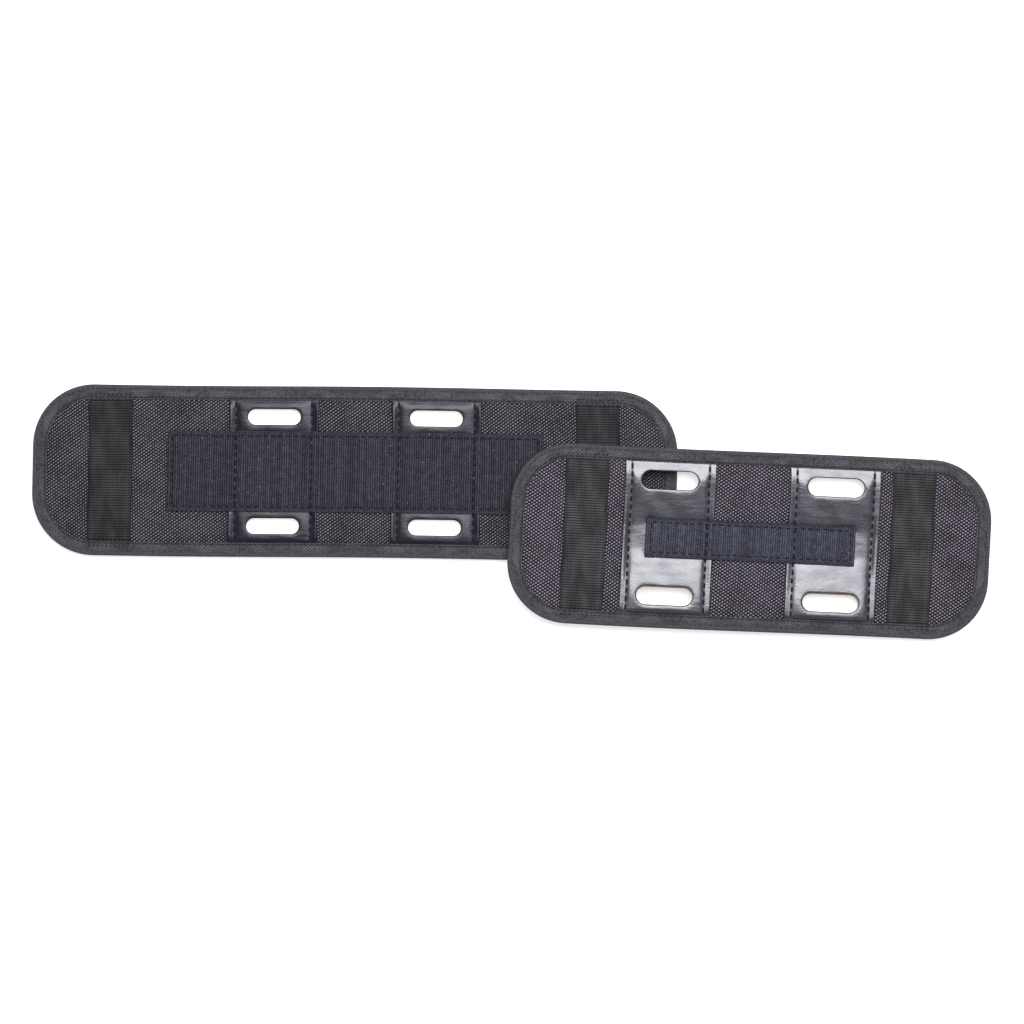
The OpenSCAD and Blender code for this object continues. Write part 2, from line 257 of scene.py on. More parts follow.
def loop_pile(name, half_w, light, blue, between):
    """The loop half of hook-and-loop: fuzzy lines of pile inside a smooth woven selvage."""
    g = Graph(name)
    across = g.math("DIVIDE", g.math("ADD", g.u, g.ramp(g.noise(300, 2), 0, 1, -0.0003, 0.0003)), 0.00135)
    lines = rows(g, across, 1.0, 0.6)
    line_tone = g.node("ShaderNodeTexWhiteNoise", {"W": g.math("FLOOR", across)},
                       noise_dimensions="1D").outputs[0]
    fuzz = g.noise(2300, 4, g.uv(1.0, 0.45), 0.65)
    from_edge = g.math("SUBTRACT", half_w, g.math("ABSOLUTE", g.v))
    pile = g.ramp(from_edge, 0.0012, 0.0022)
    clumps = g.ramp(g.noise(260, 3), 0.35, 0.7)
    tufts = g.math("ADD", g.math("MULTIPLY", lines, 0.7), g.math("MULTIPLY", fuzz, 1.3))
    height = g.math("MULTIPLY", pile, tufts)
    strength = g.math("MULTIPLY", g.ramp(line_tone, 0, 1, 0.68, 1.0), g.ramp(clumps, 0, 1, 0.75, 1.0))
    lit = g.math("MULTIPLY", g.math("MULTIPLY", g.ramp(lines, 0.35, 0.95, between, 1.0), strength),
                 g.ramp(fuzz, 0.28, 0.62))
    dull = g.mix(clumps, (0.005, 0.005, 0.007), (0.009, 0.009, 0.012))
    hairs = g.mix(lit, dull, (light, light, light * blue))
    edge = g.mix(g.ramp(g.noise(900, 2), 0.3, 0.7), (0.016, 0.016, 0.021), (0.042, 0.042, 0.052))
    lint = g.ramp(g.noise(1150, 0), 0.835, 0.86)
    colour = g.mix(g.math("MULTIPLY", lint, 0.6), g.mix(pile, edge, hairs), (0.55, 0.55, 0.55))
    return g.finish(colour, g.ramp(pile, 0, 1, 0.6, 0.92), height, 0.0004, 0.9, Sheen_Weight=0.03,
                    Sheen_Roughness=0.5, Specular_IOR_Level=0.05)


def glossy_leather(name, shine, seam_middle, seam_reach):
    """Coated black leather: fine pebble grain, brushed wisps, and a dull line where it is stitched."""
    g = Graph(name)
    cells = g.node("ShaderNodeTexVoronoi", {"Vector": g.uv(), "Scale": 1150.0, "Randomness": 1.0},
                   feature="SMOOTH_F1").outputs[0]
    wisps = g.noise(150, 4, g.uv(0.35, 1.0), 0.6)
    blotches = g.noise(95, 3)
    creases = g.noise(330, 5, g.uv(0.3, 1.0), 0.62)
    height = g.math("ADD", g.math("MULTIPLY", cells, 0.6), g.math("MULTIPLY", creases, 2.4))
    from_middle = g.math("ABSOLUTE", g.math("SUBTRACT", g.math("ABSOLUTE", g.u), seam_middle))
    seam = g.ramp(g.math("ABSOLUTE", g.math("SUBTRACT", from_middle, seam_reach)), 0.0003, 0.0011, 0.4, 0.0)
    # Lighter and bluer along the wisps and blotches.
    wisp_tone = g.math("MULTIPLY", g.ramp(wisps, 0.42, 0.72), g.ramp(blotches, 0.3, 0.7, 0.4, 1.0))
    colour = g.mix(wisp_tone, (0.002, 0.002, 0.008), (0.009, 0.009, 0.026))
    brushed = g.math("ADD", g.ramp(wisps, 0.3, 0.75, 0.20, 0.34), seam)
    rough = g.math("ADD", brushed, g.ramp(blotches, 0.3, 0.7, 0.0, 0.08))
    return g.finish(colour, rough, height, 0.00014, 0.55, Specular_IOR_Level=shine,
                    Coat_Weight=0.6 * shine, Coat_Roughness=0.3)


def foam_cells(name):
    g = Graph(name)
    position = g.node("ShaderNodeNewGeometry").outputs["Position"]
    cells = g.node("ShaderNodeTexVoronoi", {"Vector": position, "Scale": 1600.0}).outputs[0]
    colour = g.mix(g.ramp(cells, 0.1, 0.8), (0.72, 0.49, 0.30), (0.56, 0.35, 0.20))
    return g.finish(colour, g.ramp(cells, 0.0, 0.8, 0.8, 0.95), cells, 0.0002, 0.6)


def thread(name, low, high):
    """Twisted sewing thread: slanting plies along each stitch."""
    g = Graph(name)
    slant = g.math("ADD", g.math("MULTIPLY", g.u, 5200.0), g.math("MULTIPLY", g.v, 9.0))
    ply = g.math("ABSOLUTE", g.math("SINE", slant))
    colour = g.mix(ply, low, high)
    return g.finish(colour, g.ramp(ply, 0, 1, 0.8, 0.6), ply, 0.00012, 0.7, Specular_IOR_Level=0.12)


def pale_floor(name):
    g = Graph(name)
    position = g.node("ShaderNodeNewGeometry").outputs["Position"]
    grain = g.noise(30, 4, position)
    return g.finish(g.mix(grain, (0.93, 0.93, 0.93), (0.95, 0.95, 0.95)), g.ramp(grain, 0, 1, 0.85, 0.95),
                    Emission_Color=(1, 1, 1, 1), Emission_Strength=0.5)


# ---------------------------------------------------------------- the two pads

MID = 2.8           # half a pad's thickness, where it bends
SKIN = 5.0          # height of the front fabric
TAPE = 0.6          # thickness of the binding tape
TAPE_WALL = 1.0     # the tape round the pad's edge
TAPE_W = 8.5        # width of the tape that shows
TUCK = 3.4          # how far bands and patches run under the tape
FOAM_LOW = 1.2      # height of the foam's underside
LEATHER, STRIP, BAND = 1.2, 1.4, 0.9
SEAM = 4.0          # from a patch's side to its stitching
STRIP_SEAM = 3.0    # from the strip's edge to its stitching
TACK_OUT, TACK_IN = 2.8, 0.8    # the two rows of tacks, from the tape's inner edge
PULLED = 0.45       # how far the front sinks where it is stitched
PUFF = 0.95         # how far it swells between its seams


def smooth(value, low, high):
    t = np.clip((value - low) / (high - low), 0, 1)
    return t * t * (3 - 2 * t)


def outline_depth(x, y, length, width, radius):
    """How far inside a rectangle with round corners a point is."""
    qx, qy = np.abs(x) - (length / 2 - radius), np.abs(y) - (width / 2 - radius)
    outside = np.hypot(np.maximum(qx, 0), np.maximum(qy, 0))
    return radius - outside - np.minimum(np.maximum(qx, qy), 0)


def slot_depth(x, y, slot):
    """How far outside a slot a point is."""
    cx, cy, length, width = slot
    return np.hypot(np.maximum(np.abs(x - cx) - (length - width) / 2, 0), y - cy) - width / 2


class Pad:
    """One pad's measures, read from the CAD, and the heights of its layers."""

    def __init__(self, name, radius, slot_l, slot_w, slot_x, slot_y, cup, tilt, eaves, foam_shift,
                 band_shift, flat):
        self.name, self.radius, self.cup, self.tilt, self.foam_shift = name, radius, cup, tilt, foam_shift
        self.eaves, self.flat = eaves, flat
        left, right = joints[f"{name}_left_flex"], joints[f"{name}_right_flex"]
        a, b = np.array(left["pos_m"]), np.array(right["pos_m"])
        x = (b - a) / np.linalg.norm(b - a)
        y = np.array(left["axis"], float)
        self.axes = np.array([x, y / np.linalg.norm(y), np.cross(x, y)])
        self.origin = (a + b) / 2 - self.axes[2] * MID * MM
        self.flex = np.linalg.norm(b - a) / 2 / MM
        low, high = self.span("binding")
        self.length, self.width = high[0] - low[0], high[1] - low[1]
        low, high = self.span("patch_right")
        self.patch_x, self.patch_w = (low[0] + high[0]) / 2, high[0] - low[0]
        low, high = self.span("loop_strip")
        self.strip_l, self.strip_w = high[0] - low[0], high[1] - low[1]
        low, high = self.span("band_right")
        middle, self.band_w = (low[0] + high[0]) / 2, high[0] - low[0]
        self.band_x = {side: side * middle + shift for side, shift in zip((-1, 1), band_shift, strict=True)}
        self.slots = [(sx * slot_x, sy * slot_y, slot_l, slot_w) for sx in (-1, 1) for sy in (-1, 1)]
        self.inner = self.width / 2 - TAPE_W
        self.pillow = self.swell()

    def span(self, node):
        mesh = frame["nodes"][f"{self.name}_{node}"].data
        co = np.array([v.co for v in mesh.vertices], float)
        local = (co - self.origin) @ self.axes.T / MM
        return local.min(0), local.max(0)

    def place(self, points):
        """Flat millimetres to the row frame, with the slight wobble that sewing leaves in an outline."""
        p = np.array(points, float).reshape(-1, 3)
        x, y = p[:, 0], p[:, 1]
        p = np.stack([x + 0.25 * np.sin(y / 21 + 0.7),
                      y + 0.35 * np.sin(x / 43 + self.width) * np.abs(y) / 50, p[:, 2]], 1)
        return self.origin + p @ self.axes * MM

    def depth(self, x, y):
        return outline_depth(x, y, self.length, self.width, self.radius)

    def swell(self):
        """The front's swelling between its seams: a skin under pressure, pinned where thread goes through."""
        nx, ny = int(self.length) + 1, int(self.width) + 1
        x, y = np.meshgrid(np.linspace(-self.length / 2, self.length / 2, nx),
                           np.linspace(-self.width / 2, self.width / 2, ny), indexing="ij")
        near = 0.75
        ax, ay = np.abs(x), np.abs(y)
        pinned = self.depth(x, y) < TAPE_W
        pinned |= (np.abs(np.abs(ax - self.patch_x) - (self.patch_w / 2 - SEAM)) < near)
        in_strip = (ax < self.strip_l / 2) & (ay < self.strip_w / 2)
        frame_x, frame_y = self.strip_l / 2 - STRIP_SEAM, self.strip_w / 2 - STRIP_SEAM
        pinned |= in_strip & ((np.abs(ax - frame_x) < near) | (np.abs(ay - frame_y) < near))
        height = np.zeros_like(x)
        for _ in range(900):
            height[1:-1, 1:-1] = (height[2:, 1:-1] + height[:-2, 1:-1]
                                  + height[1:-1, 2:] + height[1:-1, :-2] + 1) / 4
            height[pinned] = 0
        return 1 - np.exp(-height / 22)

    def sample(self, grid, x, y):
        gx = np.clip((x / self.length + 0.5) * (grid.shape[0] - 1), 0, grid.shape[0] - 1.001)
        gy = np.clip((y / self.width + 0.5) * (grid.shape[1] - 1), 0, grid.shape[1] - 1.001)
        i, j = gx.astype(int), gy.astype(int)
        fx, fy = gx - i, gy - j
        return ((grid[i, j] * (1 - fx) + grid[i + 1, j] * fx) * (1 - fy)
                + (grid[i, j + 1] * (1 - fx) + grid[i + 1, j + 1] * fx) * fy)

    def base(self, x, y):
        """The whole pad's shape: its long edges curl up, less on the wings, and it waves a little.

        flat says where the curl ends, and on which side and where the wave does.
        """
        v = np.abs(y) / (self.width / 2)
        curl = self.cup * (smooth(v, 0.1, 1.0) * 0.35 + np.clip(v - 0.12, 0, 1) * 0.65)
        curl = curl * (1 - 0.5 * smooth(np.abs(x), self.flex - 4, self.flex + 30))
        wave = 0.22 * np.sin(x / 29 + 1.3) * v + 0.18 * np.sin(x / 17 + y / 40)
        curl = curl * (1 - smooth(x, *self.flat[0]))
        return curl + wave * (1 - smooth(x * self.flat[1], *self.flat[2])) + 0.2

    def front(self, x, y):
        """Top of the front fabric."""
        return SKIN + self.base(x, y) + PUFF * self.sample(self.pillow, x, y) - PULLED

    def on_patch(self, x, soft=1.2):
        return 1 - smooth(np.abs(np.abs(x) - self.patch_x) - self.patch_w / 2, -soft / 2, soft / 2)

    def tucked(self, x):
        """1 where a patch or a band runs under the tape."""
        off = np.minimum(np.abs(x - self.band_x[-1]), np.abs(x - self.band_x[1])) - self.band_w / 2
        return np.maximum(self.on_patch(x, 3.0), 1 - smooth(off, -1.5, 1.5))

    def leather(self, x, y):
        """Top of a patch: puffed outside its stitching, and sloping down to the tape like eaves."""
        off = np.abs(np.abs(x) - self.patch_x) - (self.patch_w / 2 - SEAM)
        lip = 0.4 * smooth(off, 0.5, 3.2)
        groove = -0.16 * np.exp(-(off / 0.9) ** 2)
        to_tape = self.inner - np.abs(y)
        rise = np.clip(np.abs(y) - 8, 0, 24) - 0.7 * np.clip(np.abs(y) - 36, 0, 9)
        pull = self.tilt * rise * (1 - smooth(off, -0.5, 2.5))
        level = PUFF * self.sample(self.pillow, x, y) - PULLED + LEATHER + pull
        level = level + (lip + groove) * smooth(to_tape, 0, 3)
        slope = np.where(to_tape < 0, 0.1, np.where(y > 0, *self.eaves))
        eaves = 0.22 + slope * to_tape
        top = -0.25 * np.log(np.exp(-level / 0.25) + np.exp(-eaves / 0.25))
        ripple = 0.10 * np.sin(x / 3.9 + y / 7.7 + self.patch_x) * np.sin(y / 5.3 + x / 12.0)
        rim = sum(-0.16 * np.exp(-np.maximum(slot_depth(x, y, s), 0) / 1.1) for s in self.slots)
        return SKIN + self.base(x, y) + top + ripple * smooth(to_tape, 0, 4) + rim

    def under_strip(self, x, y):
        cover = self.on_patch(x, 3.0)
        return self.front(x, y) * (1 - cover) + (self.front(x, y) + LEATHER) * cover

    def strip(self, x, y):
        from_seam = np.minimum(np.abs(np.abs(x) - self.strip_l / 2 + STRIP_SEAM),
                               np.abs(np.abs(y) - self.strip_w / 2 + STRIP_SEAM))
        return self.under_strip(x, y) + STRIP - 0.3 * np.exp(-(from_seam / 1.1) ** 2)

    def band(self, x, y):
        press = 0.45 * smooth(np.abs(y), self.inner - 3.5, self.inner + 0.5)
        return self.front(x, y) + BAND - press

    def tape(self, x, y):
        """Top of the tape at a point: raised a little over tucked ends, pulled down at its seam."""
        inset = self.depth(x, y)
        raised = 0.5 * self.tucked(x) * smooth(inset, 2.0, 6.0) * (np.abs(y) > self.inner - 0.5)
        corner = np.maximum(np.abs(x) - (self.length / 2 - self.radius), 0) * np.maximum(
            np.abs(y) - (self.width / 2 - self.radius), 0)
        angle = np.arctan2(np.abs(y) - self.width / 2 + self.radius,
                           np.abs(x) - self.length / 2 + self.radius)
        pucker = 0.13 * np.sin(angle * 34) * smooth(corner, 10, 120) * smooth(inset, 3.5, 8.0)
        insets = (0, 0.25, 0.6, 1.1, 1.7, 2.4, 3.2, 4.6, 6.0, 6.8, 7.4, 8.0, 8.5)
        heights = (-1.1, -0.55, -0.15, 0.1, 0.08, -0.15, -0.22, -0.05, -0.12, -0.25, -0.5, -0.38, -0.5)
        fold = np.interp(inset, insets, heights)
        return SKIN + self.base(x, y) + TAPE + fold + raised + pucker


pads = [
    Pad("long", 37, 32, 10.5, 48.1, 32.4, cup=0.8, tilt=0.0, eaves=(0.45, 1.4), foam_shift=0.5,
        band_shift=(-1.2, 0.0), flat=((60, 100), 1, (50, 90))),
    Pad("short", 36, 34, 11.4, 49.3, 34.2, cup=3.0, tilt=0.045, eaves=(0.28, 1.6), foam_shift=0.9,
        band_shift=(-2.3, 0.0), flat=((500, 501), -1, (10, 50))),
]


# ---------------------------------------------------------------- meshes

def add_mesh(name, pad, points, faces, uv, material, sharp=45):
    """Makes an object from flat-frame points. uv holds one pair of metres per point."""
    mesh = bpy.data.meshes.new(name)
    mesh.from_pydata(pad.place(points).tolist(), [], [tuple(map(int, f)) for f in faces])
    layer = mesh.uv_layers.new(name="UVMap")
    index = np.zeros(len(mesh.loops), int)
    mesh.loops.foreach_get("vertex_index", index)
    layer.data.foreach_set("uv", np.array(uv, float)[index].ravel())
    mesh.materials.append(material)
    mesh.shade_smooth()
    mesh.set_sharp_from_angle(angle=math.radians(sharp))
    obj = bpy.data.objects.new(name, mesh)
    bpy.context.scene.collection.objects.link(obj)
    return obj


def rounded_loop(length, width, radius, step):
    """Points round a rectangle with round corners."""
    points = []
    for sx, sy, start in ((1, 1, 0), (-1, 1, 90), (-1, -1, 180), (1, -1, 270)):
        cx, cy = sx * (length / 2 - radius), sy * (width / 2 - radius)
        n = max(4, int(radius * math.pi / 2 / step))
        for k in range(n + 1):
            a = math.radians(start + 90 * k / n)
            points.append((cx + radius * math.cos(a), cy + radius * math.sin(a)))
    return fill_loop(points, step)


def fill_loop(points, step):
    """The same loop with no stretch longer than step."""
    out = []
    for (x0, y0), (x1, y1) in zip(points, points[1:] + points[:1], strict=True):
        run = math.hypot(x1 - x0, y1 - y0)
        if run < 1e-6:
            continue
        n = max(1, math.ceil(run / step))
        out += [(x0 + (x1 - x0) * k / n, y0 + (y1 - y0) * k / n) for k in range(n)]
    return out


def slot_loop(slot, grow, step):
    cx, cy, length, width = slot
    loop = rounded_loop(length + 2 * grow, width + 2 * grow, width / 2 + grow - 0.01, step)
    return [(cx + x, cy + y) for x, y in loop]


def sheet(names, pad, centre, size, radius, slots, top, bottom, step, rounding, material, rings, uv_x=0.0):
    """A closed sheet between two heights, cut to a rounded rectangle with slots through it.

    names is one name, or two for a left and a right half that meet at x = 0. Its edges round over by
    rounding, rings are the insets of the rows of points along them, and its UVs are flat metres from uv_x.
    Returns the objects and each one's flat area in square metres.
    """
    cx, cy = centre
    length, width = size

    def inside(x, y):
        d = outline_depth(x - cx, y - cy, length, width, radius)
        for s in slots:
            d = np.minimum(d, slot_depth(x, y, s))
        return d

    points, edges = [], []

    def add_loop(loop, closed=True):
        start = len(points)
        points.extend(loop)
        n = len(loop)
        edges.extend((start + k, start + (k + 1) % n) for k in range(n if closed else n - 1))

    for d in rings:
        loop = rounded_loop(length - 2 * d, width - 2 * d, max(radius - d, 0.3), step)
        add_loop([(cx + x, cy + y) for x, y in loop])
        for s in slots:
            add_loop(slot_loop(s, d, min(step, 1.0)))
    if len(names) == 2:
        n = math.ceil((width - 2 * rings[-1] - 1) / step)
        add_loop([(0.0, (k / n - 0.5) * (width - 2 * rings[-1] - 1)) for k in range(n + 1)], closed=False)
        add_loop([(0.0, width / 2), (0.0, width / 2 - rings[-1] - 0.5)], closed=False)
        add_loop([(0.0, -width / 2), (0.0, -width / 2 + rings[-1] + 0.5)], closed=False)
    xs = np.arange(cx - length / 2 + step, cx + length / 2, step)
    ys = np.arange(cy - width / 2 + step, cy + width / 2, step)
    gx, gy = (a.ravel() for a in np.meshgrid(xs, ys))
    gx = gx + np.where((np.arange(len(gx)) // len(xs)) % 2, step / 4, -step / 4)
    keep = inside(gx, gy) > rings[-1] + step * 0.55
    if len(names) == 2:
        keep &= np.abs(gx) > step * 0.6
    points.extend(zip(gx[keep], gy[keep], strict=True))
    made = geometry.delaunay_2d_cdt([Vector(p) for p in points], edges, [], 0, 1e-5)
    flat = np.array([tuple(v) for v in made[0]])
    triangles = np.array([f for f in made[2] if len(f) == 3])
    middle = flat[triangles].mean(1)
    triangles = triangles[inside(middle[:, 0], middle[:, 1]) > 0]
    a, b, c = (flat[triangles[:, k]] for k in range(3))
    area = ((b[:, 0] - a[:, 0]) * (c[:, 1] - a[:, 1]) - (b[:, 1] - a[:, 1]) * (c[:, 0] - a[:, 0])) / 2
    triangles[area < 0] = triangles[area < 0][:, ::-1]
    middle = flat[triangles].mean(1)
    out = []
    for k, name in enumerate(names):
        mine = np.ones(len(triangles), bool) if len(names) == 1 else (middle[:, 0] < 0) == (k == 0)
        tri = triangles[mine]
        used, tri = np.unique(tri, return_inverse=True)
        tri = tri.reshape(-1, 3)
        x, y = flat[used].T
        d = np.clip(inside(x, y) / max(rounding, 1e-6), 0, 1)
        high, low = top(x, y), bottom(x, y)
        drop = (high - low) * 0.45 * (1 - np.sqrt(1 - (1 - d) ** 2)) if rounding else 0 * x
        n = len(x)
        sides = np.concatenate([tri[:, [0, 1]], tri[:, [1, 2]], tri[:, [2, 0]]])
        both = {tuple(e) for e in sides.tolist()}
        rim = [(p, q) for p, q in both if (q, p) not in both]
        faces = [*tri.tolist(), *(tri[:, ::-1] + n).tolist(), *[(q, p, p + n, q + n) for p, q in rim]]
        coordinates = np.concatenate([np.stack([x, y, high - drop], 1), np.stack([x, y, low + drop], 1)])
        uv = np.concatenate([np.stack([x - uv_x, y], 1)] * 2) * MM
        obj = add_mesh(name, pad, coordinates, faces, uv, material)
        out.append((obj, float(np.abs(area[mine]).sum()) * MM * MM))
    return out


def half_path(pad, inset, side):
    """Points of one half of the pad's outline, moved in by inset, from top middle to bottom middle."""
    length, width, radius = pad.length - 2 * inset, pad.width - 2 * inset, pad.radius - inset
    straight, end = pad.length / 2 - pad.radius, pad.width / 2 - pad.radius
    points = []
    n_long, n_corner, n_end = int(straight / 2), 28, max(6, int(end))
    points += [(straight * k / n_long, width / 2) for k in range(n_long)]
    for k in range(n_corner):
        a = math.pi / 2 * (1 - k / n_corner)
        points.append((straight + radius * math.cos(a), end + radius * math.sin(a)))
    points += [(length / 2, end - 2 * end * k / n_end) for k in range(n_end)]
    for k in range(n_corner):
        a = -math.pi / 2 * k / n_corner
        points.append((straight + radius * math.cos(a), -end + radius * math.sin(a)))
    points += [(straight * (1 - k / n_long), -width / 2) for k in range(n_long + 1)]
    return np.array(points) * (side, 1)


def binding_half(name, pad, side, material):
    """The folded tape along one half of the edge: out over the front, round the edge and back under."""
    # Each corner: how far in, then a share of the height of the tape's top, then an amount added to it.
    insets = (8.5, 8.0, 7.4, 6.8, 6.0, 5.2, 4.4, 3.2, 2.4, 1.7, 1.1, 0.6, 0.25, 0.0)
    profile = [(inset, 1, 0) for inset in insets]
    profile += [(0.0, 0.45, 0), (0.25, 0, 0.9), (0.8, 0, 0.35), (1.8, 0, 0.05), (5.0, 0, 0), (TAPE_W, 0, 0)]
    profile += [(TAPE_W, 0, 0.55), (TAPE_WALL + 0.7, 0, 0.6), (TAPE_WALL, 0.35, 0), (TAPE_WALL, 0.75, 0),
                (TAPE_WALL + 0.7, 1, -0.75), (7.4, 1, -0.55), (TAPE_W - 0.1, 1, -0.55)]
    rings, across, last = [], 0.0, None
    along = np.concatenate([[0], np.cumsum(np.hypot(*np.diff(half_path(pad, 5, side), axis=0).T))])
    for inset, share, added in profile:
        path = half_path(pad, inset, side)
        x, y = path.T
        low = pad.base(x, y)
        z = low + (pad.tape(x, y) - low) * share + added
        if last is not None:
            across += math.hypot(inset - last[0], z[0] - last[1])
        last = (inset, z[0])
        rings.append((np.stack([x, y, z], 1), np.stack([along, np.full(len(x), TAPE_W - across)], 1) * MM))
    points = np.concatenate([r[0] for r in rings])
    uv = np.concatenate([r[1] for r in rings])
    n, m = len(rings[0][0]), len(rings)
    faces = []
    for a in range(m):
        b = (a + 1) % m
        for k in range(n - 1):
            face = (a * n + k, a * n + k + 1, b * n + k + 1, b * n + k)
            faces.append(face if side < 0 else face[::-1])
    caps = [[a * n for a in range(m)], [a * n + n - 1 for a in range(m)][::-1]]
    faces += [c[::-1] if side > 0 else c for c in caps]
    return add_mesh(name, pad, points, faces, uv, material, 60)


def stitches(name, pad, items, surface, material, width=0.62, lift=0.30):
    """One short bent thread for each (x, y, angle, length), sunk at both ends into the surface it lies on."""
    rounds, sides = 7, 6
    points, faces, uv = [], [], []
    for x, y, angle, length in items:
        angle += rng.uniform(-0.05, 0.05)
        length *= rng.uniform(0.92, 1.05)
        x, y = x + rng.uniform(-0.12, 0.12), y + rng.uniform(-0.12, 0.12)
        c, s = math.cos(angle), math.sin(angle)
        t = np.linspace(-1, 1, rounds)
        px, py = x + c * t * length / 2, y + s * t * length / 2
        high = surface(px, py) + lift * (1 - 2.2 * t ** 4)
        radius = width / 2 * (1 - 0.45 * t ** 4)
        start = len(points)
        for k in range(rounds):
            for q in range(sides):
                a = 2 * math.pi * q / sides
                out, up = radius[k] * math.cos(a), 0.8 * radius[k] * math.sin(a)
                points.append((px[k] - s * out, py[k] + c * out, high[k] + up))
                uv.append((t[k] * length / 2 * MM, q / sides))
        for k in range(rounds - 1):
            for q in range(sides):
                a, b = start + k * sides, start + (k + 1) * sides
                r = (q + 1) % sides
                faces.append((a + q, b + q, b + r, a + r))
        faces.append(tuple(start + q for q in range(sides)))
        faces.append(tuple(start + (rounds - 1) * sides + q for q in range(sides))[::-1])
    return add_mesh(name, pad, points, faces, uv, material, 80)


def row(x0, y0, x1, y1, pitch, share=0.72):
    """Stitches in a straight line, as stitches() takes them."""
    run = math.hypot(x1 - x0, y1 - y0)
    n = max(1, round(run / pitch))
    angle = math.atan2(y1 - y0, x1 - x0)
    places = [(k + 0.5) / n for k in range(n)]
    return [(x0 + (x1 - x0) * t, y0 + (y1 - y0) * t, angle, run / n * share) for t in places]


def along_path(points, pitch, share=0.7):
    """Stitches along a bent line."""
    run = np.concatenate([[0], np.cumsum(np.hypot(*np.diff(points, axis=0).T))])
    n = int(run[-1] / pitch)
    out = []
    for k in range(n):
        at = (k + 0.5) * run[-1] / n
        x, y = (np.interp(at, run, points[:, c]) for c in (0, 1))
        x1, y1 = (np.interp(at + 0.5, run, points[:, c]) for c in (0, 1))
        out.append((float(x), float(y), math.atan2(y1 - y, x1 - x), pitch * share))
    return out


# ---------------------------------------------------------------- building

# The last colour of each weave is the painted highlight on its yarn crossings.
weave = {"long": woven_nylon("weave_long", (0.00142, 0.00097), (0.052, -0.040), 0.45,
                             (0.006, 0.006, 0.007), (0.195, 0.189, 0.209)),
         "short": woven_nylon("weave_short", (0.00146, 0.00101), (-0.045, 0.0), 0.12,
                              (0.007, 0.006, 0.008), (0.236, 0.217, 0.249))}
back_weave = woven_nylon("weave_back", (0.00142, 0.00097), (0.0, 0.0), 0.0,
                         (0.008, 0.008, 0.010), (0.11, 0.11, 0.12))
tape_material = grosgrain("binding_tape")
foam_material = foam_cells("foam")
thread_material = thread("thread", (0.004, 0.004, 0.005), (0.016, 0.016, 0.020))
tape_thread = thread("tape_thread", (0.005, 0.005, 0.007), (0.028, 0.028, 0.034))


